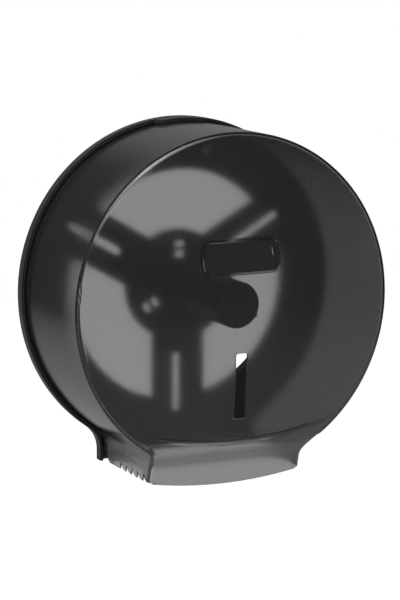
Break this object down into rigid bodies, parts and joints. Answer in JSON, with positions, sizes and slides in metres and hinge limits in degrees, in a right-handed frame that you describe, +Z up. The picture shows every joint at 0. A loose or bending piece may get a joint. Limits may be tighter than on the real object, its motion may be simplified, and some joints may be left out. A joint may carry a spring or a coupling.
{
  "type": "jumbo toilet roll dispenser",
  "caption": "Wall-mounted round dispenser for jumbo toilet rolls: ring-and-spoke back plate, fixed spindle, and a smoked hinged cover with a tear chute, sight slot and key latch.",
  "frame": {"origin": "on the wall plane, at the middle of the drum and of the spindle's axis", "axes": "+Y into the wall, so the front faces -Y; +X to the right as seen from the front; +Z up"},
  "size_m": [0.27, 0.122, 0.2792],
  "materials": {
    "black_abs": "fine matt texture",
    "black_acetal": "smooth satin",
    "smoked_plastic": "smoked translucent, outside satin",
    "badge_plastic": "glossy black, bare",
    "steel": "zinc plated"
  },
  "bodies": {
    "base": {"back_plate": "black_abs", "spindle": "black_abs", "hinge_pin_left": "steel", "hinge_pin_right": "steel", "latch_guide": "black_abs", "latch_guide_screws": "steel"},
    "cover": {"cover": "smoked_plastic", "badge": "badge_plastic"},
    "latch": {"latch": "black_acetal", "latch_spring": "steel"}
  },
  "joints": [
    {"name": "cover_hinge", "type": "hinge", "parent": "base", "child": "cover", "pos_m": [0, -0.0095, -0.1312], "axis": [1, 0, 0], "range_deg": [0, 80]},
    {"name": "latch_slide", "type": "slide", "parent": "base", "child": "latch", "axis": [0, 0, -1], "range_m": [0, 0.004], "stiffness_N_per_m": 600, "springref_m": -0.002, "deforming": ["latch_spring"]}
  ]
}
